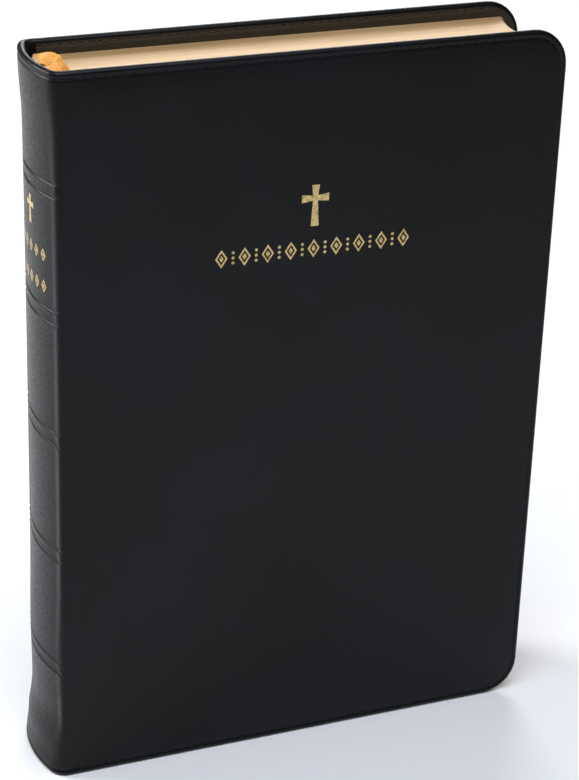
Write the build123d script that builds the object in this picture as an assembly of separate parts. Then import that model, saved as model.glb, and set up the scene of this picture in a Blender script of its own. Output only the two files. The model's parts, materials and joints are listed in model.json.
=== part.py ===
from build123d import *
import math
import os

os.makedirs("parts", exist_ok=True)

# A stitched leather Bible standing on its tail edge, in millimetres, +Z up.
# The spine is at -X, the front cover faces -Y, and the origin is under the middle of the book.

# Case: the leather cover as a whole
cover_height = 215.0
cover_width = 153.5  # from the outermost point of the spine to the fore-edge
book_thickness = 32.0
cover_thickness = 2.4
skin_thickness = 1.0  # the leather alone
board_thickness = 1.0
rim_width = 4.0  # turned-in leather round the board, at the cover's full thickness
rim_round = 0.7
corner_radius = 11.0  # fore-edge corners of each cover

# Spine
spine_bulge_radius = 41.0
spine_corner_radius = 5.5
hinge_flat = 1.4  # flat leather between the spine's round corner and the hinge line
joint_width = 6.0  # flexible strip between the hinge line and the board
inlay_thickness = 0.9
line_spacing = 36.4  # from one pair of pressed lines to the next
line_pair_gap = 3.8
line_pairs = 5
top_pair_height = 182.2
line_width = 0.7
line_depth = 0.25

# Edge stitching
stitch_inset = 1.8
thread_width = 0.7
thread_depth = 0.45
thread_clearance = 0.05

# Text block
head_square = 4.5  # how far the cover stands past the pages at head and tail
fore_edge_square = 5.7
block_hollow = 2.7  # depth of the hollow fore-edge, and of the rounded back
spine_hollow = 1.6  # between the turned-in spine leather and the back of the text block
block_clearance = 0.1
page_corner_radius = 1.2
flyleaf_thickness = 0.25
leaf_thickness = 0.3
turning_section_thickness = 1.1
front_leaves = 3
front_sections = 5
back_leaves = 2
back_sections = 4
fixed_sections = 12
leaf_gap = 0.3  # between a turning leaf and the fold that it is sewn by

# Back of the text block
thread_layer = 0.35
sewing_stations = 6
sewing_end_margin = 18.0
sewing_thread_width = 0.9
mull_thickness = 0.25
mull_margin = 12.0
paper_thickness = 0.3
paper_margin = 4.0
lining_half_width = 11.5
band_width = 2.2
band_height = 1.8
band_round = 0.7

# Ribbon markers
ribbon_width = 5.5
ribbon_thickness = 0.3
ribbon_clearance = 0.05
ribbon_sections = (4, 10)  # middle sections in front of each ribbon
ribbon_foot = 14.0  # height of the ribbon's end above the tail of the pages
ribbon_glued = 30.0  # length glued to the back of the text block
ribbon_reach = 9.0  # from the back of the text block to where the ribbon enters the pages
ribbon_rise = 1.4  # height of the loop over the band
ribbon_places = (-2.2, 7.0)  # from the middle of the back

# Gold blocking
foil_thickness = 0.1
foil_recess = 0.15
cross_height = 12.0
cross_width = 8.0
cross_bar = 1.5
cross_arm_height = 0.68  # share of the cross's height where the arms are
cross_base = 165.0
row_height = 158.4
row_length = 58.0
row_diamonds = 9
diamond_width = 3.6
diamond_height = 5.4
dot_radius = 0.55
ornament_centre = 1.6  # sideways place of the blocking on the front cover
spine_cross_height = 8.0
spine_cross_width = 5.4
spine_cross_bar = 1.1
spine_cross_base = 169.0
spine_row_heights = (162.5, 153.5)
spine_row_step = 4.2
spine_diamonds = 5
spine_diamond_width = 2.6
spine_diamond_height = 3.8

# Places that follow from the sizes
half_width = cover_width / 2
half_thickness = book_thickness / 2
bulge_centre_x = -half_width + spine_bulge_radius
corner_centre_y = half_thickness - spine_corner_radius
corner_centre_x = bulge_centre_x - math.sqrt(
    (spine_bulge_radius - spine_corner_radius) ** 2 - corner_centre_y ** 2)
hinge_x = corner_centre_x + hinge_flat
block_half = half_thickness - cover_thickness - block_clearance
block_bottom = head_square
block_top = cover_height - head_square
back_layers = thread_layer + mull_thickness + paper_thickness
block_back = -half_width + cover_thickness + spine_hollow + back_layers
block_front = half_width - fore_edge_square - block_hollow
block_radius = (block_half ** 2 + block_hollow ** 2) / (2 * block_hollow)
leaf_start = hinge_x + leaf_gap


def save(shape, name):
    shape.label = name
    export_step(shape, f"parts/{name}.step")


def group(solids):
    return Compound(children=list(solids))


def column(face, low, high):
    """Extrudes a plan outline from one height to another."""
    return extrude(Pos(0, 0, low) * face, high - low, dir=(0, 0, 1))


def plate(face, low, high):
    """Extrudes an upright outline, drawn in X and Z, between two places along Y."""
    return extrude(Plane.XZ.offset(-high) * face, high - low)


# The case

def spine_curve(depth):
    """Line, corner, back, corner, line: the spine's plan at a depth under its outer surface."""
    radius = spine_bulge_radius - depth
    corner = spine_corner_radius - depth
    side = half_thickness - depth
    slope = math.atan2(corner_centre_y, bulge_centre_x - corner_centre_x)
    meet = Vector(bulge_centre_x - radius * math.cos(slope), radius * math.sin(slope))
    half_turn = (slope + math.pi / 2) / 2
    bend_x = corner_centre_x - corner * math.cos(half_turn)
    bend = Vector(bend_x, corner_centre_y + corner * math.sin(half_turn))
    flat = Vector(corner_centre_x, side)
    start = Vector(hinge_x, side)

    def low(point):
        return Vector(point.X, -point.Y)

    return [
        Line(low(start), low(flat)),
        ThreePointArc(low(flat), low(bend), low(meet)),
        ThreePointArc(low(meet), Vector(bulge_centre_x - radius, 0), meet),
        ThreePointArc(meet, bend, flat),
        Line(flat, start),
    ]


def spine_band(outer_depth, inner_depth):
    """Plan of a layer of the spine between two depths."""
    outer = spine_curve(outer_depth)
    inner = spine_curve(inner_depth)
    ends = [Line(outer[0] @ 0, inner[0] @ 0), Line(outer[-1] @ 1, inner[-1] @ 1)]
    return make_face(outer + inner + ends)


def cover_outline(inset, start):
    """Upright outline of a cover, inset from its three free edges, from a place along X."""
    width = half_width - inset - start
    height = cover_height - 2 * inset
    radius = corner_radius - inset
    face = Pos(start + width / 2, cover_height / 2) * Rectangle(width, height)
    corners = face.vertices().group_by(Axis.X)[-1]
    return fillet(corners, radius)


def stitch_outline(half_line):
    """Upright outline of the line of stitches along a cover's three free edges."""
    outer = cover_outline(stitch_inset - half_line, hinge_x)
    return outer - cover_outline(stitch_inset + half_line, hinge_x - 1)


def diamond(width, height):
    points = [(width / 2, 0), (0, height / 2), (-width / 2, 0), (0, -height / 2)]
    return make_face(Polyline(*points, close=True))


def cross(width, height, bar):
    """Plain Latin cross standing on the origin."""
    upright = Pos(0, height / 2) * Rectangle(bar, height)
    return upright + Pos(0, height * cross_arm_height) * Rectangle(width, bar)


def front_ornament():
    """Cross over a row of diamonds and dots, drawn in X and Z."""
    step = (row_length - diamond_width) / (row_diamonds - 1)
    face = Pos(ornament_centre, cross_base) * cross(cross_width, cross_height, cross_bar)
    for index in range(row_diamonds):
        x = ornament_centre + (index - (row_diamonds - 1) / 2) * step
        face += Pos(x, row_height) * diamond(diamond_width, diamond_height)
        if index < row_diamonds - 1:
            face += Pos(x + step / 2, row_height) * Circle(dot_radius)
    return face


def spine_ornament():
    """The spine's cross and rows of diamonds, drawn in Y and Z."""
    face = Pos(0, spine_cross_base) * cross(spine_cross_width, spine_cross_height, spine_cross_bar)
    for height in spine_row_heights:
        for index in range(spine_diamonds):
            y = (index - (spine_diamonds - 1) / 2) * spine_row_step
            face += Pos(y, height) * diamond(spine_diamond_width, spine_diamond_height)
    return face


def cover_pieces():
    """Pieces of the front cover, which the back cover mirrors."""
    outside = -half_thickness
    inside = outside + cover_thickness
    leather = plate(cover_outline(0, hinge_x), outside, inside)
    free_edges = leather.edges().filter_by(lambda e: e.center().X > hinge_x + rim_round)
    free_edges = free_edges.filter_by(lambda e: abs((e @ 0).Y - (e @ 1).Y) < rim_round)
    leather = fillet(free_edges, rim_round)
    pocket = cover_outline(rim_width, hinge_x - 1)
    leather -= plate(pocket, outside + skin_thickness, inside + 1)
    groove = stitch_outline(thread_width / 2 + thread_clearance)
    leather -= plate(groove, outside - 1, outside + thread_depth)
    leather -= plate(groove, inside - thread_depth, inside + 1)
    run = stitch_outline(thread_width / 2)
    thread = [
        plate(run, outside + thread_clearance, outside + thread_depth).solid(),
        plate(run, inside - thread_depth, inside - thread_clearance).solid(),
    ]
    skin_inside = outside + skin_thickness
    board_inside = skin_inside + board_thickness
    joint = Pos(hinge_x + joint_width / 2, cover_height / 2)
    joint *= Rectangle(joint_width, cover_height - 2 * rim_width)
    return {
        "leather": leather,
        "board": plate(cover_outline(rim_width, hinge_x + joint_width), skin_inside, board_inside),
        "joint_cloth": plate(joint, skin_inside, board_inside),
        "lining": plate(cover_outline(rim_width, hinge_x), board_inside, inside),
        "edge_stitching": group(thread),
    }


def make_covers():
    pieces = cover_pieces()
    for name, piece in pieces.items():
        save(mirror(piece, about=Plane.XZ), f"back_{name}")
    foil_face = front_ornament()
    outside = -half_thickness
    leather = pieces["leather"] - plate(foil_face, outside - 1, outside + foil_recess)
    foil = plate(foil_face, outside + foil_recess - foil_thickness, outside + foil_recess)
    pieces["leather"] = leather
    for name, piece in pieces.items():
        save(piece, f"front_{name}")
    save(group(foil.solids()), "front_gold_blocking")


def make_spine():
    skin = column(spine_band(0, skin_thickness), 0, cover_height)
    full = spine_band(0, cover_thickness)
    skin += column(full, 0, rim_width)
    skin += column(full, cover_height - rim_width, cover_height)
    levels = skin.faces().filter_by(Axis.Z).sort_by(Axis.Z)
    rim_edges = [e for f in (levels[0], levels[-1]) for e in f.edges() if e.center().X < hinge_x - 0.01]
    skin = fillet(rim_edges, rim_round)
    line_band = spine_band(-1, line_depth)
    for index in range(line_pairs):
        middle = top_pair_height - index * line_spacing
        for side in (-1, 1):
            height = middle + side * line_pair_gap / 2
            skin -= column(line_band, height - line_width / 2, height + line_width / 2)
    ornament = extrude(Plane.YZ.offset(-half_width - 1) * spine_ornament(), skin_thickness + 3)
    skin -= ornament & column(spine_band(-1, foil_recess), 0, cover_height)
    foil = ornament & column(spine_band(foil_recess - foil_thickness, foil_recess), 0, cover_height)
    save(skin, "spine_leather")
    save(group(foil.solids()), "spine_gold_blocking")
    inlay = spine_band(skin_thickness, skin_thickness + inlay_thickness)
    save(column(inlay, rim_width, cover_height - rim_width), "spine_inlay")


# The text block

def back_x(y, outward=0):
    """Where the rounded back of the text block is, at a place along Y."""
    radius = block_radius + outward
    return block_back + block_radius - math.sqrt(radius ** 2 - y ** 2)


def block_profile():
    """Plan of the whole text block: round at the back, hollow at the fore-edge."""
    edge = block_front + block_hollow
    corner = back_x(block_half)
    return make_face([
        ThreePointArc((corner, -block_half), (block_back, 0), (corner, block_half)),
        Line((corner, block_half), (edge, block_half)),
        ThreePointArc((edge, block_half), (block_front, 0), (edge, -block_half)),
        Line((edge, -block_half), (corner, -block_half)),
    ])


def strip(x_low, x_high, y_low, y_high):
    return Pos((x_low + x_high) / 2, (y_low + y_high) / 2) * Rectangle(x_high - x_low, y_high - y_low)


def pages(y_low, y_high, x_start=-cover_width):
    """A slice of the text block with rounded page corners."""
    outline = block_profile() & strip(x_start, cover_width, y_low, y_high)
    widest = max(abs(y_low), abs(y_high))
    edge = block_front + block_radius - math.sqrt(block_radius ** 2 - widest ** 2)
    upright = strip(-cover_width, edge, block_bottom, block_top)
    upright = fillet(upright.vertices().group_by(Axis.X)[-1], page_corner_radius)
    return column(outline, block_bottom, block_top) & plate(upright, y_low - 1, y_high + 1)


def fold(y_low, y_high):
    """The sewn fold that stays with the spine when its leaves turn."""
    outline = block_profile() & strip(-cover_width, hinge_x, y_low, y_high)
    return column(outline, block_bottom, block_top)


def turning_stack(side, names, thicknesses):
    """Leaves and sections that turn with one cover, outermost first, and where they end."""
    folds = []
    outer = block_half
    for name, thickness in zip(names, thicknesses):
        inner = outer - thickness
        span = sorted((side * outer, side * inner))
        save(pages(*span, x_start=leaf_start), name)
        folds.append(fold(*span).solid())
        outer = inner
    return folds, outer


def stack_names(side_name, leaves, sections):
    names = [f"{side_name}_flyleaf"]
    names += [f"{side_name}_leaf_{index + 1}" for index in range(leaves)]
    return names + [f"{side_name}_section_{index + 1}" for index in range(sections)]


def stack_thicknesses(leaves, sections):
    return [flyleaf_thickness] + [leaf_thickness] * leaves + [turning_section_thickness] * sections


def make_text_block():
    front = stack_names("front", front_leaves, front_sections)
    folds, front_end = turning_stack(-1, front, stack_thicknesses(front_leaves, front_sections))
    save(group(folds), "front_section_folds")
    back = stack_names("back", back_leaves, back_sections)
    folds, back_end = turning_stack(1, back, stack_thicknesses(back_leaves, back_sections))
    save(group(folds), "back_section_folds")
    slot = ribbon_thickness + 2 * ribbon_clearance
    room = front_end + back_end - slot * len(ribbon_sections)
    thickness = room / fixed_sections
    y = -front_end
    slots = []
    for index in range(fixed_sections):
        if index in ribbon_sections:
            slots.append(y + slot / 2)
            y += slot
        save(pages(y, y + thickness), f"middle_section_{index + 1:02d}")
        y += thickness
    return slots


def back_layer(inner, outer, half_span):
    """Plan of a layer glued over the rounded back of the text block."""
    face = Pos(block_back + block_radius, 0) * (Circle(block_radius + outer) - Circle(block_radius + inner))
    return face & strip(-cover_width, hinge_x, -half_span, half_span)


def make_back_linings():
    station = back_layer(0, thread_layer, lining_half_width)
    first = block_bottom + sewing_end_margin
    step = (block_top - sewing_end_margin - first) / (sewing_stations - 1)
    threads = []
    for index in range(sewing_stations):
        height = first + index * step
        threads.append(column(station, height - sewing_thread_width, height + sewing_thread_width).solid())
    save(group(threads), "sewing_thread")
    mull = back_layer(thread_layer, thread_layer + mull_thickness, lining_half_width)
    save(column(mull, block_bottom + mull_margin, block_top - mull_margin), "mull")
    paper_inner = thread_layer + mull_thickness
    paper = back_layer(paper_inner, paper_inner + paper_thickness, lining_half_width)
    save(column(paper, block_bottom + paper_margin, block_top - paper_margin), "spine_paper")


def make_bands():
    """Head and tail bands, seated on the ends of the text block along its rounded back."""
    section = Pos(band_width / 2 - block_radius, block_top + band_height / 2)
    section *= Rectangle(band_width, band_height)
    section = fillet(section.vertices().group_by(Axis.Y)[-1], band_round)
    half_turn = math.degrees(math.asin(lining_half_width / block_radius))
    band = revolve(Plane.XZ * section, Axis.Z, 2 * half_turn)
    band = Pos(block_back + block_radius, 0, 0) * Rot(0, 0, -half_turn) * band
    save(band, "head_band")
    save(mirror(band, about=Plane.XY.offset(cover_height / 2)), "tail_band")


def make_ribbon(name, slot_y, glued_y):
    """Up the back of the text block, over the band in a low loop, and down between two sections."""
    inner = back_layers + ribbon_clearance
    outer = inner + ribbon_thickness
    glued = sorted((glued_y - ribbon_width / 2, glued_y + ribbon_width / 2))
    slot = (slot_y - ribbon_thickness / 2, slot_y + ribbon_thickness / 2)
    top = block_top + band_height + ribbon_rise
    enter_x = block_back + ribbon_reach
    inside = Pos(block_back + block_radius, 0) * Circle(block_radius + outer)
    rise = back_layer(inner, outer, half_thickness) & strip(-cover_width, hinge_x, *glued)
    over = inside & strip(-cover_width, enter_x, min(glued[0], slot[0]), max(glued[1], slot[1]))
    down = strip(enter_x - ribbon_width, enter_x, *slot)
    ribbon = column(rise, block_top - ribbon_glued, top)
    ribbon += column(over, top - ribbon_thickness, top)
    save(ribbon + column(down, block_bottom + ribbon_foot, top), name)


make_covers()
make_spine()
ribbon_slots = make_text_block()
make_back_linings()
make_bands()
make_ribbon("ribbon_1", ribbon_slots[0], ribbon_places[0])
make_ribbon("ribbon_2", ribbon_slots[1], ribbon_places[1])
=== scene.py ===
import json
import math
import random

import bmesh
import bpy
from mathutils import Matrix, Vector


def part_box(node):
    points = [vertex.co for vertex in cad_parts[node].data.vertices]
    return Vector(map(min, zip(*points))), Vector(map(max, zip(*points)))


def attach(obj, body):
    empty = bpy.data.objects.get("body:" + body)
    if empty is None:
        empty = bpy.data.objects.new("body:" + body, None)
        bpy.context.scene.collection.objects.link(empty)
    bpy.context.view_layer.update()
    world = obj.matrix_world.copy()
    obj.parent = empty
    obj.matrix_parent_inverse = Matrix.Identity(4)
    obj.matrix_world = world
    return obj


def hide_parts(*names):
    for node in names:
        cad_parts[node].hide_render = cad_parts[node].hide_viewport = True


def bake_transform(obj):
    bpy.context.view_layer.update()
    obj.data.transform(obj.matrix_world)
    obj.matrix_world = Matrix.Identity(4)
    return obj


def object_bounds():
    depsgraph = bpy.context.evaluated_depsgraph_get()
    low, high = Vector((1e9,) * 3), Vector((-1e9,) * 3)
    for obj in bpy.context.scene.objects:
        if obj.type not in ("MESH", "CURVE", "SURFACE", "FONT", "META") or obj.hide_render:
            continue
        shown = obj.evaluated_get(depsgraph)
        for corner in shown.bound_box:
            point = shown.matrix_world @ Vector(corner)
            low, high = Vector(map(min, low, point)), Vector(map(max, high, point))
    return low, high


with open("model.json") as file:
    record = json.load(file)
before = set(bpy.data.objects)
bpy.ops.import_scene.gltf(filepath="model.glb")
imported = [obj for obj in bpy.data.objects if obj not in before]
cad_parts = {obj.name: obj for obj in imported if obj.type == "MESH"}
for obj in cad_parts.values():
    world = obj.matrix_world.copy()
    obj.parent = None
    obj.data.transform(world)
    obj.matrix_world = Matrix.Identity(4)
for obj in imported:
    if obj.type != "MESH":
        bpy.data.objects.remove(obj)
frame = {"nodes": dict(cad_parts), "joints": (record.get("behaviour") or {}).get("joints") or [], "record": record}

cadLow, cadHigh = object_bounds()
mm = 0.001
random.seed(7)


# Places that the frame gives

def joint(name):
    return next(j for j in frame["joints"] if j["name"] == name)


hinge = Vector(joint("front_cover_hinge")["pos_m"])
hingeX = hinge.x
halfThick = -hinge.y
bookHeight = cadHigh.z
foreEdgeX = cadHigh.x
spineX = cadLow.x
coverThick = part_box("front_leather")[1].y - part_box("front_leather")[0].y
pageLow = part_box("middle_section_01")[0].z
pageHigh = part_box("middle_section_01")[1].z


# Small helpers

def smooth(low, high, value):
    t = min(1, max(0, (value - low) / (high - low)))
    return t * t * (3 - 2 * t)


def bell(value, middle, width):
    return math.exp(-((value - middle) / width) ** 2)


def linear(hexColour):
    channels = [int(hexColour[i:i + 2], 16) / 255 for i in (1, 3, 5)]
    return [c / 12.92 if c <= 0.04045 else ((c + 0.055) / 1.055) ** 2.4 for c in channels] + [1]


def addMesh(name, verts, faces, material, flat=False):
    mesh = bpy.data.meshes.new(name)
    mesh.from_pydata([tuple(v) for v in verts], [], faces)
    mesh.validate()
    bm = bmesh.new()
    bm.from_mesh(mesh)
    bmesh.ops.recalc_face_normals(bm, faces=bm.faces)
    bm.to_mesh(mesh)
    bm.free()
    mesh.polygons.foreach_set("use_smooth", [not flat] * len(mesh.polygons))
    piece = bpy.data.objects.new(name, mesh)
    bpy.context.collection.objects.link(piece)
    mesh.materials.append(material)
    return piece


def place(piece, body, slotName, *nodes):
    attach(piece, body)
    if nodes:
        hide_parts(*nodes)
    return piece


def steps(low, high, count):
    return [low + (high - low) * i / count for i in range(count + 1)]


# Materials: one small function adds a node, the rest says what the real surface is

def newMaterial(name):
    material = bpy.data.materials.new(name)
    material.use_nodes = True
    tree = material.node_tree
    tree.nodes.clear()
    out = addNode(tree, "ShaderNodeOutputMaterial")
    shader = addNode(tree, "ShaderNodeBsdfPrincipled")
    tree.links.new(shader.outputs[0], out.inputs[0])
    return material, tree, shader


def addNode(tree, kind, settings=None, **inputs):
    node = tree.nodes.new(kind)
    for key, value in (settings or {}).items():
        setattr(node, key, value)
    for key, value in inputs.items():
        socket = node.inputs[int(key[2:])] if key.startswith("in") else node.inputs[key]
        if isinstance(value, bpy.types.NodeSocket):
            tree.links.new(value, socket)
        else:
            socket.default_value = value
    return node


def mixColour(tree, amount, first, second):
    node = addNode(tree, "ShaderNodeMix", {"data_type": "RGBA"})
    for socket, value in ((node.inputs[0], amount), (node.inputs[6], first), (node.inputs[7], second)):
        if isinstance(value, bpy.types.NodeSocket):
            tree.links.new(value, socket)
        else:
            socket.default_value = value
    return node.outputs[2]


def ramp(tree, value, stops):
    node = addNode(tree, "ShaderNodeValToRGB", Fac=value)
    elements = node.color_ramp.elements
    while len(elements) < len(stops):
        elements.new(0.5)
    for element, (position, colour) in zip(elements, stops):
        element.position = position
        element.color = colour
    return node.outputs[0]


leather = {
    "colour": "#0a0a0b",
    "tint": "#101114",
    "grain": 0.75,  # width of one pebble of the pressed grain
    "pore": 0.28,
    "roughness": 0.36,
    "ior": 1.5,
    "gloss": 0.12,  # the dye and wax make the leather reflect less than bare hide
    "glaze": 0.13,  # the finishing coat that catches the light along the rolled edges
    "glazeRoughness": 0.24,
    "warp": 0.35,  # how far, in mm, the pebbles are pushed out of a regular pattern
    "relief": 0.1,  # depth of the grain
    "reliefStrength": 0.6,
}


def calfLeather():
    # calf, drum-dyed black and plate-grained: a fine pebble with a soft sheen, shinier on its tops
    material, tree, shader = newMaterial("calfLeatherPlateGrained")
    at = addNode(tree, "ShaderNodeTexCoord").outputs["Object"]
    warp = addNode(tree, "ShaderNodeTexNoise", Vector=at, Scale=1 / (2.5 * leather["grain"] * mm), Detail=2.0)
    shifted = addNode(tree, "ShaderNodeVectorMath", {"operation": "MULTIPLY_ADD"})
    tree.links.new(warp.outputs["Color"], shifted.inputs[0])
    shifted.inputs[1].default_value = (leather["warp"] * mm,) * 3
    tree.links.new(at, shifted.inputs[2])
    pebbles = addNode(tree, "ShaderNodeTexVoronoi", {"feature": "SMOOTH_F1"}, Vector=shifted.outputs[0],
                      Scale=1 / (leather["grain"] * mm), Smoothness=0.6)
    pores = addNode(tree, "ShaderNodeTexNoise", Vector=at, Scale=1 / (leather["pore"] * mm), Detail=3.0)
    hills = addNode(tree, "ShaderNodeMath", {"operation": "MULTIPLY_ADD"}, in0=pores.outputs[0], in1=0.45,
                    in2=pebbles.outputs["Distance"])
    patches = addNode(tree, "ShaderNodeTexNoise", Vector=at, Scale=22.0, Detail=3.0, Roughness=0.55)
    stops = [(0.35, linear(leather["colour"])), (0.72, linear(leather["tint"]))]
    tone = ramp(tree, patches.outputs[0], stops)
    tree.links.new(tone, shader.inputs["Base Color"])
    tops = addNode(tree, "ShaderNodeMapRange", Value=hills.outputs[0])
    span = ((1, 0.25), (2, 0.95), (3, leather["roughness"] - 0.05), (4, leather["roughness"] + 0.12))
    for index, value in span:
        tops.inputs[index].default_value = value
    tree.links.new(tops.outputs[0], shader.inputs["Roughness"])
    shader.inputs["IOR"].default_value = leather["ior"]
    shader.inputs["Specular IOR Level"].default_value = leather["gloss"]
    shader.inputs["Coat Weight"].default_value = leather["glaze"]
    shader.inputs["Coat Roughness"].default_value = leather["glazeRoughness"]
    bump = addNode(tree, "ShaderNodeBump", {"invert": True}, Strength=leather["reliefStrength"],
                   Distance=leather["relief"] * mm, Height=hills.outputs[0])
    tree.links.new(bump.outputs[0], shader.inputs["Normal"])
    return material


def liningLeather():
    # skiver, a split leather glued flat: dull dark olive brown with a fine nap
    material, tree, shader = newMaterial("skiverLiningMatt")
    at = addNode(tree, "ShaderNodeTexCoord").outputs["Object"]
    nap = addNode(tree, "ShaderNodeTexNoise", Vector=at, Scale=1 / (0.5 * mm), Detail=4.0)
    tone = ramp(tree, nap.outputs[0], [(0.3, linear("#1b160e")), (0.75, linear("#40351f"))])
    tree.links.new(tone, shader.inputs["Base Color"])
    shader.inputs["Roughness"].default_value = 0.72
    shader.inputs["IOR"].default_value = 1.48
    bump = addNode(tree, "ShaderNodeBump", Strength=0.3, Distance=0.06 * mm, Height=nap.outputs[0])
    tree.links.new(bump.outputs[0], shader.inputs["Normal"])
    return material


def gildedEdges():
    # page edges sized and gilt with pale gold leaf: satin metal broken by the edges of the leaves
    material, tree, shader = newMaterial("paleGoldLeafOnPageEdges")
    at = addNode(tree, "ShaderNodeTexCoord").outputs["UV"]
    # a leaf is 0.05 mm thick; the lines are drawn 0.35 mm apart, which still show
    fine = addNode(tree, "ShaderNodeVectorMath", {"operation": "MULTIPLY"}, in0=at, in1=(1.5, 290, 0))
    lines = addNode(tree, "ShaderNodeTexNoise", Vector=fine.outputs[0], Scale=1.0, Detail=3.0, Roughness=0.65)
    broad = addNode(tree, "ShaderNodeVectorMath", {"operation": "MULTIPLY"}, in0=at, in1=(1.2, 30, 0))
    bands = addNode(tree, "ShaderNodeTexNoise", Vector=broad.outputs[0], Scale=1.0, Detail=2.0)
    both = addNode(tree, "ShaderNodeMath", {"operation": "MULTIPLY_ADD"}, in0=lines.outputs[0], in1=0.5,
                   in2=bands.outputs[0])
    tone = ramp(tree, both.outputs[0], [(0.5, linear("#b08b5c")), (0.75, linear("#bd9a6b")),
                                        (1.0, linear("#c9a97b"))])
    tree.links.new(tone, shader.inputs["Base Color"])
    shader.inputs["Metallic"].default_value = 0.2
    shader.inputs["Roughness"].default_value = 0.5
    bump = addNode(tree, "ShaderNodeBump", Strength=0.35, Distance=0.05 * mm, Height=lines.outputs[0])
    tree.links.new(bump.outputs[0], shader.inputs["Normal"])
    return material


def maskBetween(tree, value, low, high):
    # 1 where the value lies between low and high
    above = addNode(tree, "ShaderNodeMath", {"operation": "GREATER_THAN"}, in0=value, in1=low)
    below = addNode(tree, "ShaderNodeMath", {"operation": "LESS_THAN"}, in0=value, in1=high)
    return addNode(tree, "ShaderNodeMath", {"operation": "MULTIPLY"}, in0=above.outputs[0],
                   in1=below.outputs[0]).outputs[0]


def biblePaper():
    # thin Bible paper, calendered: warm white, faintly mottled, with two columns of plain grey
    # dashes for print
    material, tree, shader = newMaterial("biblePaperCalendered")
    coordinates = addNode(tree, "ShaderNodeTexCoord")
    cloud = addNode(tree, "ShaderNodeTexNoise", Vector=coordinates.outputs["Object"], Scale=60.0, Detail=4.0)
    tone = ramp(tree, cloud.outputs[0], [(0.3, linear("#f0e7d4")), (0.7, linear("#f7f0e0"))])
    place = addNode(tree, "ShaderNodeSeparateXYZ", Vector=coordinates.outputs["UV"])
    across, up = place.outputs[0], place.outputs[1]
    # the lines of dashes are 3.4 mm apart
    line = addNode(tree, "ShaderNodeMath", {"operation": "MULTIPLY"}, in0=up, in1=100 / 3.4)
    within = addNode(tree, "ShaderNodeMath", {"operation": "FRACT"}, in0=line.outputs[0])
    number = addNode(tree, "ShaderNodeMath", {"operation": "FLOOR"}, in0=line.outputs[0])
    spot = addNode(tree, "ShaderNodeCombineXYZ", X=across, Y=number.outputs[0])
    stretched = addNode(tree, "ShaderNodeVectorMath", {"operation": "MULTIPLY"}, in0=spot.outputs[0],
                        in1=(24, 7.3, 0))
    gaps = addNode(tree, "ShaderNodeTexNoise", Vector=stretched.outputs[0], Scale=1.0, Detail=1.0)
    word = addNode(tree, "ShaderNodeMath", {"operation": "GREATER_THAN"}, in0=gaps.outputs[0], in1=0.42)
    ink = maskBetween(tree, within.outputs[0], 0.3, 0.72)
    rows = maskBetween(tree, up, 0.2, 1.96)
    leftColumn = maskBetween(tree, across, -0.54, -0.03)
    rightColumn = maskBetween(tree, across, 0.03, 0.54)
    columns = addNode(tree, "ShaderNodeMath", {"operation": "ADD"}, in0=leftColumn, in1=rightColumn)
    for mask in (ink, rows, columns.outputs[0]):
        word = addNode(tree, "ShaderNodeMath", {"operation": "MULTIPLY"}, in0=word.outputs[0], in1=mask)
    faint = addNode(tree, "ShaderNodeMath", {"operation": "MULTIPLY"}, in0=word.outputs[0], in1=0.5)
    tree.links.new(mixColour(tree, faint.outputs[0], tone, linear("#6b665e")), shader.inputs["Base Color"])
    shader.inputs["Roughness"].default_value = 0.62
    shader.inputs["IOR"].default_value = 1.5
    return material


def endpaperStock():
    # stout cream endpaper, laid: matt, with a soft fibre
    material, tree, shader = newMaterial("endpaperCreamMatt")
    at = addNode(tree, "ShaderNodeTexCoord").outputs["Object"]
    fibre = addNode(tree, "ShaderNodeTexNoise", Vector=at, Scale=900.0, Detail=5.0)
    tone = ramp(tree, fibre.outputs[0], [(0.35, linear("#eadfc8")), (0.7, linear("#f3ead7"))])
    tree.links.new(tone, shader.inputs["Base Color"])
    shader.inputs["Roughness"].default_value = 0.75
    return material


def satinRibbon():
    # double-faced satin, woven with long floats: a bright band of sheen across the weave
    material, tree, shader = newMaterial("polyesterSatinOrange")
    at = addNode(tree, "ShaderNodeTexCoord").outputs["UV"]
    scaled = addNode(tree, "ShaderNodeVectorMath", {"operation": "MULTIPLY"}, in0=at)
    scaled.inputs[1].default_value = (46, 3, 1)
    threads = addNode(tree, "ShaderNodeTexNoise", Vector=scaled.outputs[0], Scale=1.0, Detail=2.0)
    tone = ramp(tree, threads.outputs[0], [(0.3, linear("#f59a2e")), (0.7, linear("#ffbd66"))])
    tree.links.new(tone, shader.inputs["Base Color"])
    shader.inputs["Roughness"].default_value = 0.34
    shader.inputs["Anisotropic"].default_value = 0.6
    shader.inputs["Sheen Weight"].default_value = 0.5
    shader.inputs["Sheen Roughness"].default_value = 0.3
    shader.inputs["Sheen Tint"].default_value = linear("#ffe2b8")
    shader.inputs["Subsurface Weight"].default_value = 0.15
    shader.inputs["Subsurface Scale"].default_value = 0.5 * mm
    bump = addNode(tree, "ShaderNodeBump", Strength=0.25, Distance=0.03 * mm, Height=threads.outputs[0])
    tree.links.new(bump.outputs[0], shader.inputs["Normal"])
    return material


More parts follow.
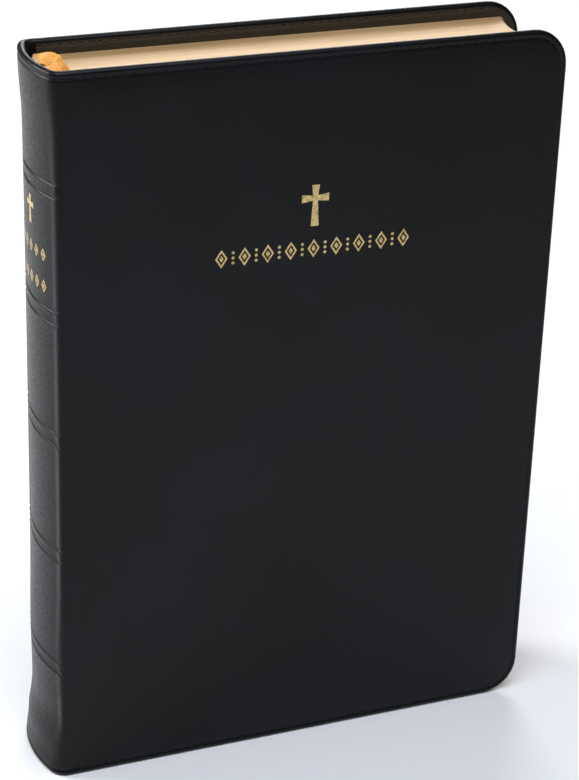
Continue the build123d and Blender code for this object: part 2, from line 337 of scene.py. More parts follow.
def bandCotton():
    # mercerised cotton worked over a cord: cream, in close ribs, with painted shade darkening the grooves between
    # them
    material, tree, shader = newMaterial("headbandCottonCream")
    at = addNode(tree, "ShaderNodeTexCoord").outputs["Object"]
    ribs = addNode(tree, "ShaderNodeTexWave", {"bands_direction": "Y"}, Vector=at,
                   Scale=1 / (0.55 * mm) / 20, Distortion=0.6)
    # the ramp darkens the low grooves between the ribs: painted shade
    tone = ramp(tree, ribs.outputs[0], [(0.1, linear("#b79c7c")), (0.6, linear("#dcc4a4"))])
    tree.links.new(tone, shader.inputs["Base Color"])
    shader.inputs["Roughness"].default_value = 0.6
    shader.inputs["Sheen Weight"].default_value = 0.3
    bump = addNode(tree, "ShaderNodeBump", Strength=0.6, Distance=0.12 * mm, Height=ribs.outputs[0])
    tree.links.new(bump.outputs[0], shader.inputs["Normal"])
    return material


def plainMatt(name, low, high, scale, roughness):
    material, tree, shader = newMaterial(name)
    at = addNode(tree, "ShaderNodeTexCoord").outputs["Object"]
    fibre = addNode(tree, "ShaderNodeTexNoise", Vector=at, Scale=scale, Detail=4.0)
    tone = ramp(tree, fibre.outputs[0], [(0.3, linear(low)), (0.7, linear(high))])
    tree.links.new(tone, shader.inputs["Base Color"])
    shader.inputs["Roughness"].default_value = roughness
    bump = addNode(tree, "ShaderNodeBump", Strength=0.3, Distance=0.08 * mm, Height=fibre.outputs[0])
    tree.links.new(bump.outputs[0], shader.inputs["Normal"])
    return material


def goldFoil():
    # blocking foil, hot-pressed into the grain: bright pale gold with a few thin spots
    material, tree, shader = newMaterial("blockingFoilPaleGold")
    at = addNode(tree, "ShaderNodeTexCoord").outputs["Object"]
    wear = addNode(tree, "ShaderNodeTexNoise", Vector=at, Scale=1 / (0.5 * mm), Detail=3.0)
    tone = ramp(tree, wear.outputs[0], [(0.32, linear("#a9905a")), (0.5, linear("#d9bf80")),
                                        (0.8, linear("#efdca6"))])
    tree.links.new(tone, shader.inputs["Base Color"])
    shader.inputs["Metallic"].default_value = 0.75
    shader.inputs["Roughness"].default_value = 0.38
    bump = addNode(tree, "ShaderNodeBump", Strength=0.25, Distance=0.05 * mm, Height=wear.outputs[0])
    tree.links.new(bump.outputs[0], shader.inputs["Normal"])
    return material


print("materials")
leatherFinish = calfLeather()
liningFinish = liningLeather()
giltFinish = gildedEdges()
paperFinish = biblePaper()
endpaperFinish = endpaperStock()
satinFinish = satinRibbon()
bandFinish = bandCotton()
foilFinish = goldFoil()
threadFinish = plainMatt("waxedPolyesterThreadBlack", "#0a0909", "#151413", 3000.0, 0.75)
liningThreadFinish = plainMatt("waxedPolyesterThreadOlive", "#2b2417", "#4c4029", 3000.0, 0.55)
boardFinish = plainMatt("greyBinderBoard", "#77736c", "#8f8b83", 700.0, 0.85)
cardFinish = plainMatt("flexibleSpineCard", "#8b7c63", "#a3947a", 600.0, 0.8)
kraftFinish = plainMatt("kraftPaperBrown", "#94754c", "#ab8a5e", 900.0, 0.8)
gauzeFinish = plainMatt("starchedCottonMull", "#d5cfbe", "#ece7d8", 1500.0, 0.85)
linenFinish = plainMatt("linenSewingThread", "#d8cfb9", "#efe8d6", 2500.0, 0.7)


# A plate with an open spine side and rounded fore-edge corners, as a grid whose lines follow its edge

def edgeGrid(xEnd, zLow, zHigh, radius, columns, insets, rows):
    # insets run from 0 at the edge to the corner radius, so the corner's rings are arcs
    xs = list(columns) + [xEnd - d for d in reversed(insets)][1:]
    zs = [zLow + d for d in insets] + list(rows) + [zHigh - d for d in reversed(insets)]
    points = []
    for x in xs:
        for z in zs:
            toEdge = xEnd - x
            toLow, toHigh = z - zLow, zHigh - z
            toEnd = min(toLow, toHigh)
            px, pz, depth = x, z, min(toEdge, toEnd)
            if toEdge < radius and toEnd < radius:
                u, v = 1 - toEdge / radius, 1 - toEnd / radius
                reach = max(u, v)
                turn = 0 if reach == 0 else min(u, v) / reach * math.pi / 4
                angle = turn if u >= v else math.pi / 2 - turn
                px = xEnd - radius + reach * radius * math.cos(angle)
                drop = reach * radius * math.sin(angle)
                pz = zLow + radius - drop if toLow < toHigh else zHigh - radius + drop
                depth = radius * (1 - reach)
            points.append((px, pz, depth))
    return points, len(xs), len(zs)


def gridFaces(nx, nz, start, flip=False):
    faces = []
    for i in range(nx - 1):
        for j in range(nz - 1):
            a = start + i * nz + j
            quad = (a, a + nz, a + nz + 1, a + 1)
            faces.append(quad[::-1] if flip else quad)
    return faces


def freeEdge(nx, nz):
    # the grid's free edge, from the spine side along the tail, the fore-edge and the head
    low = [i * nz for i in range(nx)]
    side = [(nx - 1) * nz + j for j in range(1, nz)]
    high = [i * nz + nz - 1 for i in reversed(range(nx - 1))]
    return low + side + high


print("cover leather")
cover = {
    "cornerRadius": 11 * mm,
    "stitchInset": 1.9 * mm,
    "grooveDepth": 0.3 * mm,
    "grooveWidth": 0.4 * mm,
    "padding": 0.2 * mm,  # the soft rise of the leather inside the line of stitches
    "bend": 5.5 * mm,  # leather that bends beside the hinge line
}
rimRadius = coverThick / 2
ringInsets = [rimRadius * (1 - math.cos(math.radians(a))) for a in range(0, 91, 10)]
ringInsets += [d * mm for d in (1.35, 1.5, 1.62, 1.72, 1.81, 1.9, 1.99, 2.08, 2.18, 2.3, 2.5, 2.8, 3.3,
                                4, 5, 6.5, 8.5)]
ringInsets += [cover["cornerRadius"]]
hingeColumns = [hingeX + d * mm for d in (0, 0.4, 0.8, 1.2, 1.6, 2, 2.4, 2.8, 3.2, 3.6, 4, 4.4, 4.8, 5.2,
                                          5.6, 6.2, 7, 8.5, 11)]
plateColumns = hingeColumns + steps(hingeX + 15 * mm, foreEdgeX - cover["cornerRadius"], 26)
plateRows = steps(cover["cornerRadius"], bookHeight - cover["cornerRadius"], 36)[1:-1]


def rimShape(depth):
    # half the leather's thickness at a distance in from its rolled edge
    if depth >= rimRadius:
        return rimRadius
    return math.sqrt(max(0, rimRadius ** 2 - (rimRadius - depth) ** 2))


def stitchGroove(depth):
    return cover["grooveDepth"] * bell(depth, cover["stitchInset"], cover["grooveWidth"])


def coverRise(x, depth):
    # how far the outer leather stands from its plain plane
    rise = cover["padding"] * smooth(2.2 * mm, 7 * mm, depth) * smooth(0, 6 * mm, x - hingeX)
    return rise - stitchGroove(depth)


def coverLeather(side, name):
    # side is -1 for the front and 1 for the back
    points, nx, nz = edgeGrid(foreEdgeX, 0, bookHeight, cover["cornerRadius"], plateColumns,
                              ringInsets, plateRows)
    middle = halfThick - rimRadius
    verts = []
    for x, z, depth in points:
        verts.append((x, side * (middle + rimShape(depth) + coverRise(x, depth)), z))
    border = set(freeEdge(nx, nz))
    inner = {}
    for index, (x, z, depth) in enumerate(points):
        if index in border:
            inner[index] = index
            continue
        inner[index] = len(verts)
        verts.append((x, side * (middle - rimShape(depth) + stitchGroove(depth)), z))
    faces = gridFaces(nx, nz, 0)
    faces += [tuple(inner[i] for i in quad[::-1]) for quad in gridFaces(nx, nz, 0)]
    return addMesh(name, verts, faces, leatherFinish)


def crossesHinge(piece, body, slotName, *nodes):
    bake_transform(piece)
    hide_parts(*nodes)


for side, word in ((-1, "front"), (1, "back")):
    skin = coverLeather(side, f"{word}CoverLeather")
    crossesHinge(skin, f"{word}_cover", "black_leather", f"{word}_leather")


print("edge stitching")
stitching = {
    "pitch": 2.8 * mm,
    "length": 2.15 * mm,
    "threadRadius": 0.21 * mm,
    "sink": 0.1 * mm,  # how much lower a stitch's ends lie than its middle
    "start": 1.2 * mm,  # from the hinge line
}


def stitchPath():
    # length along the line of stitches, and a function from that length to (x, z, direction)
    inset, radius = cover["stitchInset"], cover["cornerRadius"] - cover["stitchInset"]
    startX = hingeX + stitching["start"]
    endX = foreEdgeX - cover["cornerRadius"]
    low, high = cover["cornerRadius"], bookHeight - cover["cornerRadius"]
    run, rise, arc = endX - startX, high - low, radius * math.pi / 2

    def at(s):
        if s < run:
            return startX + s, inset, (1, 0)
        s -= run
        if s < arc:
            a = s / radius
            return endX + radius * math.sin(a), low - radius * math.cos(a), (math.cos(a), math.sin(a))
        s -= arc
        if s < rise:
            return endX + radius, low + s, (0, 1)
        s -= rise
        if s < arc:
            a = s / radius
            return endX + radius * math.cos(a), high + radius * math.sin(a), (-math.sin(a), math.cos(a))
        s -= arc
        return endX - s, bookHeight - inset, (-1, 0)

    return 2 * (run + arc) + rise, at


def edgeStitches(side, name):
    total, at = stitchPath()
    count = int(total / stitching["pitch"])
    pitch = total / count
    radius = stitching["threadRadius"]
    outerFace = halfThick - cover["grooveDepth"] + 0.15 * radius
    innerFace = halfThick - coverThick + cover["grooveDepth"] - 0.12 * mm - 0.35 * radius
    verts, faces = [], []
    for face in (outerFace, innerFace):
        away = 1 if face == outerFace else -1
        outerCount = len(faces)
        for k in range(count):
            first = k * pitch + (pitch - stitching["length"]) / 2 + random.uniform(-0.05, 0.05) * mm
            begin = len(verts)
            for u, girth in ((0, 0.35), (0.08, 0.8), (0.25, 1), (0.5, 1.04), (0.75, 1), (0.92, 0.8),
                             (1, 0.35)):
                x, z, (dx, dz) = at(first + u * stitching["length"])
                y = face - away * stitching["sink"] * (2 * u - 1) ** 2
                for q in range(7):
                    angle = q * math.tau / 7
                    across, out = math.cos(angle) * radius * girth, math.sin(angle) * radius * girth
                    verts.append((x - dz * across, side * (y + away * out), z + dx * across))
            for ring in range(6):
                for q in range(7):
                    a, b = begin + ring * 7 + q, begin + ring * 7 + (q + 1) % 7
                    faces.append((a, b, b + 7, a + 7))
            faces.append(tuple(begin + q for q in range(7)))
            faces.append(tuple(begin + 42 + q for q in range(7)))
    piece = addMesh(name, verts, faces, threadFinish)
    piece.data.materials.append(liningThreadFinish)
    for polygon in piece.data.polygons:
        polygon.material_index = int(polygon.index >= outerCount)
    return piece


for side, word in ((-1, "front"), (1, "back")):
    crossesHinge(edgeStitches(side, f"{word}EdgeStitches"), f"{word}_cover", "black_thread",
                 f"{word}_edge_stitching")


print("spine leather")
spine = {
    "cornerRadius": 5.5 * mm,
    "bulgeRadius": 41 * mm,
    "waist": 2.77 * mm,  # how far the middle of the spine lies inside its foot
    "wall": 0.9 * mm,  # single leather, away from the turned-in head and tail
    "lineDepth": 0.32 * mm,
    "lineWidth": 0.42 * mm,
    "firstPair": 182.2 * mm,
    "pairStep": 36.4 * mm,
    "pairGap": 3.8 * mm,
    "pairs": 5,
}
lineHeights = [spine["firstPair"] - i * spine["pairStep"] + s * spine["pairGap"] / 2
               for i in range(spine["pairs"]) for s in (1, -1)]
bulgeX = spineX + spine["bulgeRadius"]
cornerY = halfThick - spine["cornerRadius"]
cornerX = bulgeX - math.sqrt((spine["bulgeRadius"] - spine["cornerRadius"]) ** 2 - cornerY ** 2)
bulgeTurn = math.atan2(cornerY, bulgeX - cornerX)


def spineOutline(cornerSteps, bulgeSteps):
    # (point, outward direction, how far round it is: 0 at the hinge line, 1 on the back) from front to back
    half = [(Vector((hingeX, halfThick)), Vector((0, 1)), 0.0)]
    for i in range(cornerSteps + 1):
        t = i / cornerSteps
        angle = math.pi / 2 + (math.pi / 2 - bulgeTurn) * t
        out = Vector((math.cos(angle), math.sin(angle)))
        half.append((Vector((cornerX, cornerY)) + out * spine["cornerRadius"], out, t))
    for i in range(1, bulgeSteps + 1):
        angle = math.pi - bulgeTurn * (1 - i / bulgeSteps)
        out = Vector((math.cos(angle), math.sin(angle)))
        half.append((Vector((bulgeX, 0)) + out * spine["bulgeRadius"], out, 1.0))
    mirrored = [(Vector((p.x, -p.y)), Vector((o.x, -o.y)), t) for p, o, t in half]
    return mirrored[:-1] + half[::-1]


def spineFlare(z):
    # the back of the spine against its plain curve: drawn in at the waist, flared at the tail and the head
    head = bookHeight - z
    foot = 1.75 * mm * (1 - smooth(9 * mm, 19 * mm, z)) + 0.9 * mm * (1 - smooth(0, 9 * mm, z))
    swell = 0.7 * mm * bell(z, 40 * mm, 17 * mm)
    top = 0.55 * mm * (1 - smooth(5 * mm, 19 * mm, head)) + 1.3 * mm * math.exp(-head / (45 * mm))
    return foot + swell + top - spine["waist"]


def spineRelief(t, z):
    pressed = sum(bell(z, h, spine["lineWidth"]) for h in lineHeights if abs(z - h) < 2 * mm)
    lip = sum(bell(abs(z - h), 0.85 * mm, 0.35 * mm) for h in lineHeights if abs(z - h) < 3 * mm)
    lines = (0.07 * mm * lip - spine["lineDepth"] * pressed) * smooth(0.2, 0.7, t)
    return lines - stitchGroove(min(z, bookHeight - z))


def spineWall(t, z):
    end = min(z, bookHeight - z)
    doubled = max(1 - smooth(0, 0.6, t), 1 - smooth(3.4 * mm, 7 * mm, end))
    return spine["wall"] + (coverThick - spine["wall"]) * doubled


def onSpine(p, out, t, z, depth):
    # depth is measured in from the outer face before it is pressed
    flare = spineFlare(z) * smooth(0.1, 1, t)
    at = p - out * depth
    return Vector((at.x - flare, at.y, z))


def spineRows():
    rows = set(round(z, 7) for z in steps(ringInsets[-1], bookHeight - ringInsets[-1], 60))
    for h in lineHeights:
        rows = {z for z in rows if abs(z - h) > 1.6 * mm}
        rows |= {round(h + d * 0.15 * mm, 7) for d in range(-9, 10)}
    ends = set(ringInsets) | {bookHeight - d for d in ringInsets}
    return sorted(rows | ends)


def closedSheet(name, outer, inner, nx, nz, material):
    # two facing grids of points made one closed skin
    verts = outer + inner
    faces = gridFaces(nx, nz, 0) + gridFaces(nx, nz, nx * nz, True)
    edge = freeEdge(nx, nz) + list(range(nz - 2, 0, -1))
    for a, b in zip(edge, edge[1:] + edge[:1]):
        faces.append((a, b, b + nx * nz, a + nx * nz))
    piece = addMesh(name, verts, faces, material)
    piece.data.set_sharp_from_angle(angle=math.radians(60))
    return piece


def spineShell():
    outline = spineOutline(16, 22)
    rows = spineRows()
    outer, inner = [], []
    for p, out, t in outline:
        for z in rows:
            end = min(z, bookHeight - z)
            rolled = rimRadius - rimShape(end)
            outer.append(onSpine(p, out, t, z, rolled - spineRelief(t, z)))
            inner.append(onSpine(p, out, t, z, max(spineWall(t, z) - rolled, rolled + 0.002 * mm)))
    return closedSheet("spineLeather", outer, inner, len(outline), len(rows), leatherFinish)


def spineCard():
    outline = [(p, out, t) for p, out, t in spineOutline(16, 22) if t > 0.93]
    rows = steps(9 * mm, bookHeight - 9 * mm, 60)
    layers = [[onSpine(p, out, t, z, spineWall(t, z) + d * mm) for p, out, t in outline for z in rows]
              for d in (0.03, 0.28)]
    return closedSheet("spineCard", layers[0], layers[1], len(outline), len(rows), cardFinish)


place(spineShell(), "book_block", "black_leather", "spine_leather")
place(spineCard(), "book_block", "spine_card", "spine_inlay")


print("lining")


def lining(side, name):
    inset = 1.25 * mm
    radius = cover["cornerRadius"] - inset
    insets = [0, 0.04 * mm, 0.1 * mm] + [d - inset for d in ringInsets if d > inset + 0.15 * mm]
    points, nx, nz = edgeGrid(foreEdgeX - inset, inset, bookHeight - inset, radius, plateColumns,
                              insets, plateRows)
    face = halfThick - coverThick
    verts = []
    for x, z, depth in points:
        lift = 0.12 * mm * smooth(0, 0.1 * mm, depth) - stitchGroove(depth + inset)
        verts.append((x, side * (face - lift), z))
    return addMesh(name, verts, gridFaces(nx, nz, 0), liningFinish)


for side, word in ((-1, "front"), (1, "back")):
    sheet = lining(side, f"{word}Lining")
    crossesHinge(sheet, f"{word}_cover", "lining_leather", f"{word}_lining", f"{word}_joint_cloth")


print("pages")
block = {
    "hollow": 2.7 * mm,
    "cornerRadius": 1.2 * mm,
    "bend": 18 * mm,  # how far from the hinge line a leaf still curves when it is turned
}
blockHalf = -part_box("front_flyleaf")[0].y
blockRadius = (blockHalf ** 2 + block["hollow"] ** 2) / (2 * block["hollow"])
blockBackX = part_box("head_band")[0].x
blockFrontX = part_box("front_flyleaf")[1].x - block["hollow"]


def roundShift(y):
    # how far a leaf at this depth stands towards the fore-edge of the middle leaf
    return blockRadius - math.sqrt(blockRadius ** 2 - y ** 2)


def pageStack(name, yLow, yHigh, paper):
    # a stack of leaves: paper on its faces, gilt on its edges, rounded back and hollow fore-edge
    corner = block["cornerRadius"]
    insets = [0, 0.1 * mm, 0.25 * mm, 0.5 * mm, 0.8 * mm, corner]
    rows = steps(pageLow + corner, pageHigh - corner, 20)[1:-1]
    columns = [blockBackX, blockBackX + 1 * mm, blockBackX + 2 * mm]
    columns += steps(hingeX - 1.5 * mm, hingeX + block["bend"], 24)
    columns += steps(hingeX + 24 * mm, blockFrontX - corner, 8)
    points, nx, nz = edgeGrid(blockFrontX, pageLow, pageHigh, corner, columns, insets, rows)
    layers = max(1, round((yHigh - yLow) / (0.55 * mm)))
    levels = steps(yLow, yHigh, layers)
    count = len(points)
    verts = [(points[i][0] + roundShift(y), y, points[i][1]) for y in (yLow, yHigh) for i in range(count)]
    places = [(points[i][0] / mm / 100, points[i][1] / mm / 100) for i in range(count)] * 2
    faces = gridFaces(nx, nz, 0) + gridFaces(nx, nz, count, True)
    paperCount = len(faces)
    border = freeEdge(nx, nz) + list(range(nz - 2, 0, -1))
    loops = [border]
    for y in levels[1:-1]:
        loops.append(list(range(len(verts), len(verts) + len(border))))
        verts += [(points[i][0] + roundShift(y), y, points[i][1]) for i in border]
    loops.append([count + i for i in border])
    girth = [0]
    for i, j in zip(border, border[1:] + border[:1]):
        girth.append(girth[-1] + math.dist(points[i][:2], points[j][:2]))
    edgePlaces = {}
    for lower, upper, y, above in zip(loops, loops[1:], levels, levels[1:]):
        for k in range(len(border)):
            n = (k + 1) % len(border)
            here, there = girth[k], girth[k + 1]
            edgePlaces[len(faces)] = [(here, y), (here, above), (there, above), (there, y)]
            faces.append((lower[k], upper[k], upper[n], lower[n]))
    mesh = bpy.data.meshes.new(name)
    mesh.from_pydata(verts, [], faces)
    for finish in (paper, giltFinish):
        mesh.materials.append(finish)
    # the map is in units of 10 cm, u along the page or round its edge and v up the page or through the stack
    printed = mesh.uv_layers.new(name="leaf")
    for polygon in mesh.polygons:
        polygon.use_smooth = True
        if polygon.index >= paperCount:
            polygon.material_index = 1
        for k, loop in enumerate(polygon.loop_indices):
            if polygon.index < paperCount:
                printed.data[loop].uv = places[polygon.vertices[k]]
            else:
                u, v = edgePlaces[polygon.index][k]
                printed.data[loop].uv = (u / mm / 100, v / mm / 100)
    mesh.set_sharp_from_angle(angle=math.radians(50))
    piece = bpy.data.objects.new(name, mesh)
    bpy.context.collection.objects.link(piece)
    return outwards(piece)


def outwards(piece):
    bm = bmesh.new()
    bm.from_mesh(piece.data)
    bmesh.ops.recalc_face_normals(bm, faces=bm.faces)
    bm.to_mesh(piece.data)
    bm.free()
    return piece


middleNames = [n for n in frame["nodes"] if n.startswith("middle_section")]
middleLow = min(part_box(n)[0].y for n in middleNames)
middleHigh = max(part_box(n)[1].y for n in middleNames)
place(pageStack("middlePages", middleLow, middleHigh, paperFinish), "book_block", "gilt_pages",
      "front_section_folds", "back_section_folds", *middleNames)
for node in frame["nodes"]:
    onSide = node.startswith(("front_", "back_"))
    turns = onSide and ("leaf" in node or "section" in node) and "folds" not in node
    if not turns:
        continue
    low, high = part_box(node)
    fly = "flyleaf" in node
    stack = pageStack(node + ".leaves", low.y, high.y, endpaperFinish if fly else paperFinish)
    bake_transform(stack)
    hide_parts(node)


print("gold blocking")
blocking = {
    "foil": 0.05 * mm,
    "crossFoot": 165 * mm,
    "crossHeight": 12 * mm,
    "crossWidth": 8 * mm,
    "crossBar": 1.5 * mm,
    "rowHeight": 158.4 * mm,
    "rowLength": 58 * mm,
    "lozenges": 9,
    "lozenge": (3.6 * mm, 5.4 * mm),
    "middleX": 1.6 * mm,
    "spineFoot": 169 * mm,
    "spineCross": (5.4 * mm, 8 * mm, 1.1 * mm),
    "spineRows": (162.5 * mm, 153.5 * mm),
    "spineLozenge": (2.6 * mm, 3.8 * mm),
    "spineStep": 4.2 * mm,
}


def crossShape(u, foot, height, width, bar):
    # a Latin cross whose arms widen a little to their ends, as convex pieces
    arms = foot + height * 0.68
    h, e = bar / 2, bar * 0.78
    corners = [(u - h, arms - h), (u + h, arms - h), (u + h, arms + h), (u - h, arms + h)]
    return [corners,
            [(u - e, foot), (u + e, foot), corners[1], corners[0]],
            [corners[3], corners[2], (u + e, foot + height), (u - e, foot + height)],
            [corners[1], (u + width / 2, arms - e), (u + width / 2, arms + e), corners[2]],
            [(u - width / 2, arms - e), corners[0], corners[3], (u - width / 2, arms + e)]]


def lozengeShape(u, z, width, height):
    # a hollow lozenge with a small solid one inside it
    def ring(scale):
        return [(u + width / 2 * scale, z), (u, z + height / 2 * scale),
                (u - width / 2 * scale, z), (u, z - height / 2 * scale)]
    outside, inside, heart = ring(1), ring(0.68), ring(0.36)
    shapes = [[outside[i], outside[(i + 1) % 4], inside[(i + 1) % 4], inside[i]] for i in range(4)]
    return shapes + [heart]


def dotShape(u, z, radius):
    return [[(u + radius * math.cos(a * math.tau / 12), z + radius * math.sin(a * math.tau / 12))
             for a in range(12)]]


def foilPiece(name, shapes, surface):
    # every shape is a thin plate lying on the leather, closed all round
    index, tops = {}, []
    for shape in shapes:
        face = []
        for u, z in shape:
            face.append(index.setdefault((round(u, 7), round(z, 7)), len(index)))
        tops.append(face)
    flat = list(index)
    count = len(flat)
    verts = [surface(u, z, 0.03 * mm) for u, z in flat]
    verts += [surface(u, z, 0.03 * mm - blocking["foil"]) for u, z in flat]
    faces = tops + [[i + count for i in face[::-1]] for face in tops]
    used = {}
    for face in tops:
        for a, b in zip(face, face[1:] + face[:1]):
            used.setdefault(frozenset((a, b)), []).append((a, b))
    for edges in used.values():
        if len(edges) == 1:
            a, b = edges[0]
            faces.append((b, a, a + count, b + count))
    return addMesh(name, verts, faces, foilFinish, True)


def onFront(x, z, lift):
    return (x, -(halfThick + cover["padding"] + lift), z)


def onBack(along, z, lift):
    # along is measured round the back of the spine, from its middle towards the front cover's side
    angle = along / spine["bulgeRadius"]
    out = Vector((-math.cos(angle), -math.sin(angle)))
    p = Vector((bulgeX, 0)) + out * spine["bulgeRadius"]
    return onSpine(p, out, 1.0, z, -lift)


frontShapes = crossShape(blocking["middleX"], blocking["crossFoot"], blocking["crossHeight"],
                         blocking["crossWidth"], blocking["crossBar"])
lozengeStep = (blocking["rowLength"] - blocking["lozenge"][0]) / (blocking["lozenges"] - 1)
for k in range(blocking["lozenges"]):
    u = blocking["middleX"] + (k - (blocking["lozenges"] - 1) / 2) * lozengeStep
    frontShapes += lozengeShape(u, blocking["rowHeight"], *blocking["lozenge"])
    if k:
        for rise in (-1.5 * mm, 0, 1.5 * mm):
            frontShapes += dotShape(u - lozengeStep / 2, blocking["rowHeight"] + rise, 0.45 * mm)
place(foilPiece("frontBlocking", frontShapes, onFront), "front_cover", "gold_foil", "front_gold_blocking")

width, height, bar = blocking["spineCross"]
backShapes = crossShape(0, blocking["spineFoot"], height, width, bar)
for z in blocking["spineRows"]:
    for k in range(-2, 3):
        backShapes += lozengeShape(k * blocking["spineStep"], z, *blocking["spineLozenge"])
place(foilPiece("spineBlocking", backShapes, onBack), "book_block", "gold_foil", "spine_gold_blocking")


print("headbands and ribbons")
band = {
    "width": 1.5 * mm,
    "height": 1.3 * mm,
    "wrap": 0.75 * mm,  # one turn of thread, drawn twice as coarse as it is so that it shows
    "relief": 0.07 * mm,
}
backCentreX = blockBackX + blockRadius
bandTurn = math.asin((blockHalf - 1.6 * mm) / blockRadius)


def headband(name, baseZ, up):
    length = 2 * bandTurn * blockRadius
    stations = int(length / band["wrap"] * 8)
    verts, faces = [], []
    for i in range(stations + 1):
        turn = bandTurn * (2 * i / stations - 1)
        close = min(1, 0.35 + min(i, stations - i) / 5)
        ripple = band["relief"] * math.cos(math.tau * i / 8)
        for q in range(16):
            angle = q * math.tau / 16
            across = (band["width"] / 2 + ripple) * math.cos(angle) * close
            rise = (band["height"] / 2 + ripple) * math.sin(angle) * close
            reach = blockRadius - band["width"] / 2 + across
            verts.append((backCentreX - reach * math.cos(turn), reach * math.sin(turn),
                          baseZ + up * (band["height"] / 2 + rise)))
    for i in range(stations):
        for q in range(16):
            a, b = i * 16 + q, i * 16 + (q + 1) % 16
            faces.append((a, b, b + 16, a + 16))
    faces.append(tuple(range(16)))
    faces.append(tuple(range(stations * 16, stations * 16 + 16)))
    return addMesh(name, verts, faces, bandFinish)


place(headband("headBand.worked", pageHigh, 1), "book_block", "cream_band", "head_band")
place(headband("tailBand.worked", pageLow, -1), "book_block", "cream_band", "tail_band")

ribbon = {
    "width": 5.5 * mm,
    "thick": 0.22 * mm,
    "crown": 0.25 * mm,  # the curve across the ribbon
    "stations": 72,
    "strips": 8,
}


def throughPoints(points, s):
    # a smooth line through the points, s from 0 to 1
    span = s * (len(points) - 1)
    i = min(int(span), len(points) - 2)
    t = span - i
    p = [Vector(points[max(0, min(len(points) - 1, k))]) for k in (i - 1, i, i + 1, i + 2)]
    return 0.5 * ((2 * p[1]) + (p[2] - p[0]) * t + (2 * p[0] - 5 * p[1] + 4 * p[2] - p[3]) * t ** 2
                  + (3 * p[1] - p[0] - 3 * p[2] + p[3]) * t ** 3)


def ribbonMarker(name, route, twists):
    # route: points from the glued foot to where it goes down between the leaves
    # twists: the turn of its width at each of them
    outer, inner, places = [], [], []
    count = ribbon["stations"]
    for i in range(count + 1):
        s = i / count
        at = throughPoints(route, s)
        after, before = throughPoints(route, min(1, s + 0.005)), throughPoints(route, max(0, s - 0.005))
        ahead = (after - before).normalized()
        turn = throughPoints([(t, 0, 0) for t in twists], s).x
        level = Vector((0, 1, 0))
        level = (level - ahead * level.dot(ahead)).normalized()
        side = level.cross(ahead)
        across = level * math.cos(turn) + side * math.sin(turn)
        face = ahead.cross(across).normalized()
        for j in range(ribbon["strips"] + 1):
            v = 2 * j / ribbon["strips"] - 1
            p = at + across * v * ribbon["width"] / 2 + face * ribbon["crown"] * (1 - v * v)
            outer.append(p + face * ribbon["thick"] / 2)
            inner.append(p - face * ribbon["thick"] / 2)
            places.append((j / ribbon["strips"], s * 6))
    piece = closedSheet(name, outer, inner, count + 1, ribbon["strips"] + 1, satinFinish)
    woven = piece.data.uv_layers.new(name="weave")
    for loop in piece.data.loops:
        woven.data[loop.index].uv = places[loop.vertex_index % len(places)]
    return piece


quarter = math.pi / 2
for number, slotY, loopY, footX, peak in ((1, -1.9 * mm, -2.6 * mm, 0.4 * mm, -0.2 * mm),
                                          (2, 5.67 * mm, 7.4 * mm, 1.2 * mm, 0.5 * mm)):
    foot = blockBackX + footX
    route = [(foot, loopY, pageHigh - 6 * mm),
             (foot, loopY, pageHigh - 1.2 * mm),
             (foot + 0.5 * mm, loopY, pageHigh + 0.5 * mm + peak / 2),
             (foot + 2.5 * mm, loopY - 0.2 * mm, pageHigh + 0.6 * mm + peak),
             (foot + 4.7 * mm, (loopY + slotY) / 2, pageHigh + 0.3 * mm + peak / 2),
             (foot + 5.3 * mm, slotY, pageHigh - 1 * mm),
             (foot + 5.2 * mm, slotY, pageHigh - 8 * mm)]
    twists = [0, 0, -0.1, -0.3, -0.8, -1.4, -quarter]
    marker = ribbonMarker(f"ribbonMarker{number}", route, twists)
    place(marker, "book_block", "orange_satin", f"ribbon_{number}")


print("finishes of the pieces that keep their shape")
keptFinishes = {
    "grey_board": boardFinish,
    "spine_card": cardFinish,
    "kraft_paper": kraftFinish,
    "cotton_gauze": gauzeFinish,
    "linen_thread": linenFinish,
    "black_thread": threadFinish,
    "gold_foil": foilFinish,
    "cream_band": bandFinish,
    "orange_satin": satinFinish,
}
slotOf = {s["node"]: s["material_slot"] for s in frame["record"]["subparts"]}
for node, thing in frame["nodes"].items():
    finish = keptFinishes.get(slotOf.get(node))
    if finish:
        for slotIndex in range(len(thing.material_slots)):
            thing.material_slots[slotIndex].material = finish


print("stage and camera")
stage = {"floor": "#ffffff", "size": 6.0, "roughness": 0.9, "ambient": 0.12}


def backdrop():
    material, tree, shader = newMaterial("backdropPaperWhite")
    shader.inputs["Base Color"].default_value = linear(stage["floor"])
    shader.inputs["Roughness"].default_value = stage["roughness"]
    half = stage["size"] / 2
    verts = [(-half, -half, 0), (half, -half, 0), (half, half, 0), (-half, half, 0)]
    floor = addMesh("floor", verts, [(0, 1, 2, 3)], material, True)


backdrop()

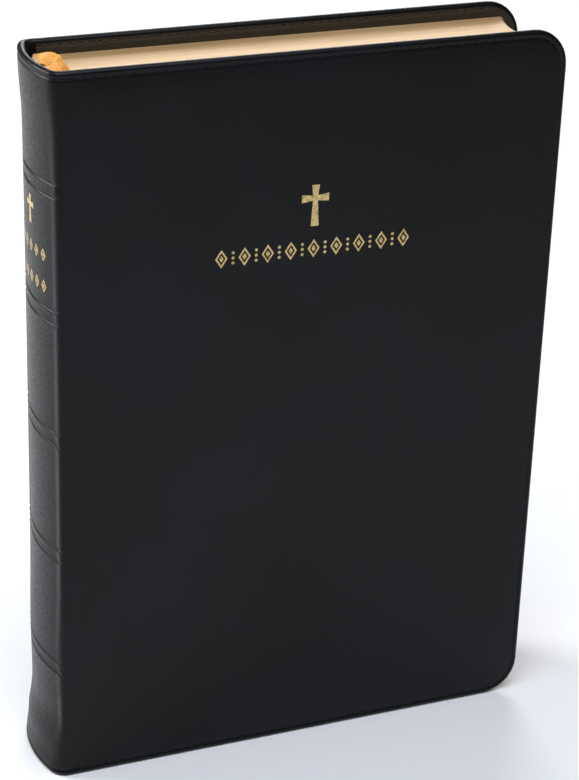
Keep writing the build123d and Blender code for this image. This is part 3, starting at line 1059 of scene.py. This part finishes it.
view = {
    "azimuth": -22.933,
    "elevation": 25.115,
    "roll": -2.028,
    "lens": 107.66,
    "sensor": 36,
    "nearest": 0.01,
    "place": (-313.74, -550.60, 396.10),  # in mm, from the fore-edge's front corner at the tail
}


def makeCamera():
    camera = bpy.data.objects.new("camera", bpy.data.cameras.new("camera"))
    bpy.context.collection.objects.link(camera)
    camera.data.lens = view["lens"]
    camera.data.sensor_width = view["sensor"]
    camera.data.clip_start = view["nearest"]
    a, e, r = (math.radians(view[key]) for key in ("azimuth", "elevation", "roll"))
    back = Vector((math.sin(a) * math.cos(e), -math.cos(a) * math.cos(e), math.sin(e)))
    right = (-back).cross(Vector((0, 0, 1))).normalized()
    down = (-back).cross(right)
    right, down = (math.cos(r) * right + math.sin(r) * down, math.cos(r) * down - math.sin(r) * right)
    turn = Matrix((right, -down, back)).transposed().to_4x4()
    place = Vector(view["place"]) * mm + Vector((foreEdgeX, -halfThick, 0))
    camera.matrix_world = Matrix.Translation(place) @ turn
    bpy.context.scene.camera = camera


makeCamera()


def softLight(name, place, size, power, aim, colour="#ffffff"):
    lamp = bpy.data.lights.new(name, "AREA")
    lamp.shape = "RECTANGLE"
    lamp.size, lamp.size_y = size
    lamp.energy = power
    lamp.color = linear(colour)[:3]
    thing = bpy.data.objects.new(name, lamp)
    bpy.context.collection.objects.link(thing)
    thing.location = place
    thing.rotation_mode = "QUATERNION"
    thing.rotation_quaternion = (Vector(aim) - Vector(place)).to_track_quat("-Z", "Y")


softLight("backSoftbox", (0.5, 1.1, 0.8), (0.6, 0.6), 7.5, (0, 0, 0.15))
softLight("overheadSoftbox", (-0.1, -0.28, 0.85), (0.6, 0.6), 6, (0, -0.1, 0), "#edf3ff")
softLight("leftSoftbox", (-1.1, 0.8, 0.7), (0.8, 0.8), 17, (-0.25, 0.3, 0))

world = bpy.data.worlds.new("studio")
bpy.context.scene.world = world
world.use_nodes = True
world.node_tree.nodes["Background"].inputs[0].default_value = (1, 1, 1, 1)
world.node_tree.nodes["Background"].inputs[1].default_value = stage["ambient"]
bpy.context.scene.view_settings.view_transform = "Standard"
